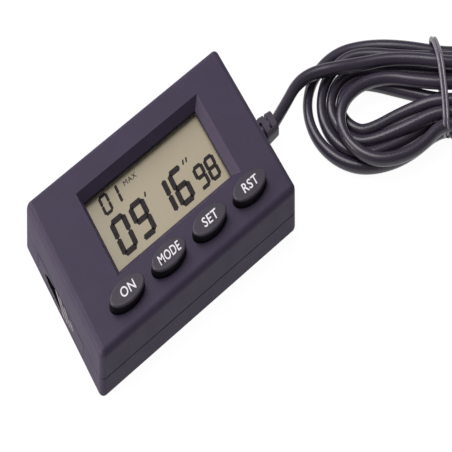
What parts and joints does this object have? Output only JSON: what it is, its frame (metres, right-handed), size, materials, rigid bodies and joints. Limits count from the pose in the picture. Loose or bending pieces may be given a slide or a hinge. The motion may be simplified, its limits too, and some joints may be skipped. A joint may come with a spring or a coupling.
{
  "type": "digital probe instrument",
  "caption": "Pocket digital instrument with a recessed liquid-crystal display, a row of oval push buttons, a sliding battery drawer and a wired steel probe on a tied lead.",
  "frame": {"origin": "middle of the flat back face of the case", "axes": "+X along the long side in reading direction, towards the lead; +Y up the display; +Z out of the display"},
  "size_m": [0.1615, 0.0693, 0.0141],
  "materials": {
    "case": "fine satin texture",
    "button": "satin",
    "window": "clear polished",
    "lcd_glass": "satin polariser film",
    "reflector": "satin",
    "holder": "matte",
    "elastomer": "matte",
    "board": "solder mask",
    "epoxy": "gloss",
    "component": "matte",
    "steel": "satin",
    "screw_steel": "zinc plated",
    "silicone": "matte",
    "copper": "satin",
    "cell_steel": "satin",
    "lead": "semi-gloss jacket",
    "tie_wire": "satin",
    "probe_steel": "satin"
  },
  "bodies": {
    "case": {"front_shell": "case", "rear_cover": "case", "case_screws": "screw_steel", "display_window": "window", "lcd_panel": "lcd_glass", "lcd_reflector": "reflector", "lcd_holder": "holder", "zebra_strip_upper": "elastomer", "zebra_strip_lower": "elastomer", "circuit_board": "board", "controller_blob": "epoxy", "timing_crystal": "cell_steel", "chip_components": "component", "board_screws": "screw_steel", "lead_wires": "copper", "contact_upper": "steel", "contact_lower": "steel", "strain_relief": "lead", "cord_lead": "lead", "cord_hank": "lead", "twist_tie": "tie_wire", "cord_tail": "lead", "probe_sleeve": "lead", "probe_tip": "probe_steel", "return_dome_power": "silicone", "return_dome_mode": "silicone", "return_dome_set": "silicone", "return_dome_reset": "silicone"},
    "drawer": {"battery_drawer": "case", "coin_cell": "cell_steel"},
    "power_key": {"button_power": "button"},
    "mode_key": {"button_mode": "button"},
    "set_key": {"button_set": "button"},
    "reset_key": {"button_reset": "button"}
  },
  "joints": [
    {"name": "drawer_slide", "type": "slide", "parent": "case", "child": "drawer", "axis": [-1, 0, 0], "range_m": [0, 0.022]},
    {"name": "power_press", "type": "slide", "parent": "case", "child": "power_key", "axis": [0, 0, -1], "range_m": [0, 0.0008], "stiffness_N_per_m": 900, "springref_m": -0.0006, "deforming": ["return_dome_power"]},
    {"name": "mode_press", "type": "slide", "parent": "case", "child": "mode_key", "axis": [0, 0, -1], "range_m": [0, 0.0008], "stiffness_N_per_m": 900, "springref_m": -0.0006, "deforming": ["return_dome_mode"]},
    {"name": "set_press", "type": "slide", "parent": "case", "child": "set_key", "axis": [0, 0, -1], "range_m": [0, 0.0008], "stiffness_N_per_m": 900, "springref_m": -0.0006, "deforming": ["return_dome_set"]},
    {"name": "reset_press", "type": "slide", "parent": "case", "child": "reset_key", "axis": [0, 0, -1], "range_m": [0, 0.0008], "stiffness_N_per_m": 900, "springref_m": -0.0006, "deforming": ["return_dome_reset"]}
  ]
}
